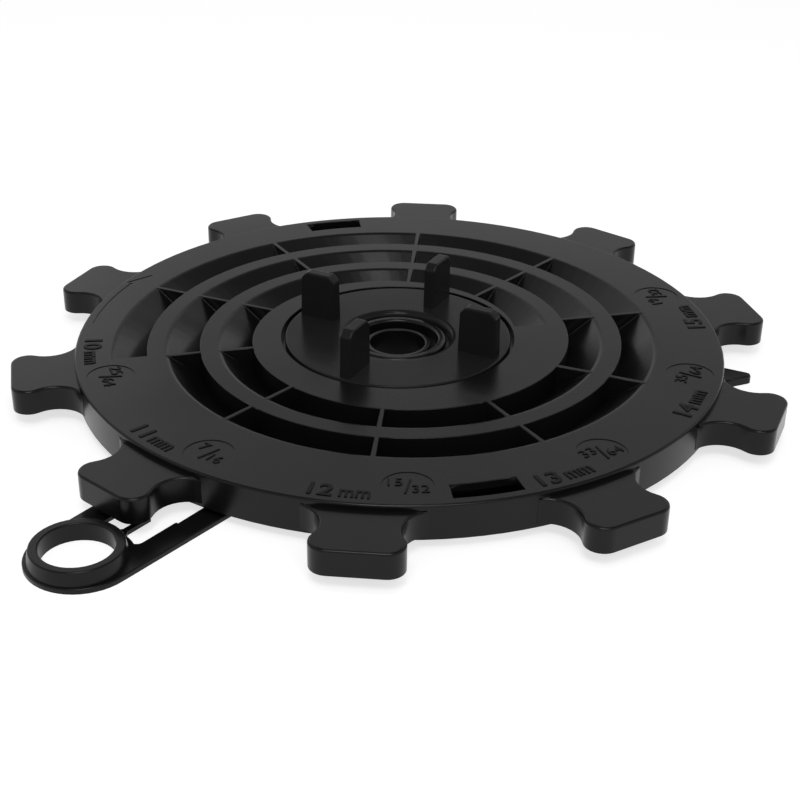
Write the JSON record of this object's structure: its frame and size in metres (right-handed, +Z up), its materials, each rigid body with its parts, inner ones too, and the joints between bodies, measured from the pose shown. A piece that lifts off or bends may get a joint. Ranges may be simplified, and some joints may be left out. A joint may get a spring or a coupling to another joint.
{
  "type": "adjustable decking pedestal",
  "caption": "Low round pedestal for raised paving: a lugged head with a spiral ribbed groove turns on a ramped base with a ring arm, with a tabbed joint spacer at its centre.",
  "frame": {"origin": "on the turning axis, at the floor under the base", "axes": "+Z up along the turning axis, the ring arm points along -Y to within half a degree"},
  "size_m": [0.1876, 0.2143, 0.0231],
  "materials": {
    "base": "satin moulded polypropylene, black",
    "centre_bush": "satin moulded polypropylene, black",
    "head": "satin moulded polypropylene, black",
    "spacer": "satin moulded polypropylene, black"
  },
  "bodies": {
    "base": {"base": "base"},
    "centre_bush": {"centre_bush": "centre_bush"},
    "head": {"head": "head"},
    "spacer": {"spacer": "spacer"}
  },
  "joints": [
    {"name": "height_lift", "type": "slide", "parent": "base", "child": "centre_bush", "axis": [0, 0, 1], "range_m": [-0.00109, 0.00391]},
    {"name": "head_turn", "type": "hinge", "parent": "centre_bush", "child": "head", "pos_m": [0, 0, 0], "axis": [0, 0, 1], "range_deg": [-140.7, 39.3]},
    {"name": "spacer_spin", "type": "hinge", "parent": "centre_bush", "child": "spacer", "pos_m": [0, 0, 0], "axis": [0, 0, 1], "continuous": true}
  ],
  "couplings": [
    {"joint": "height_lift", "follows": "head_turn", "m_per_rad": -0.0015915}
  ]
}
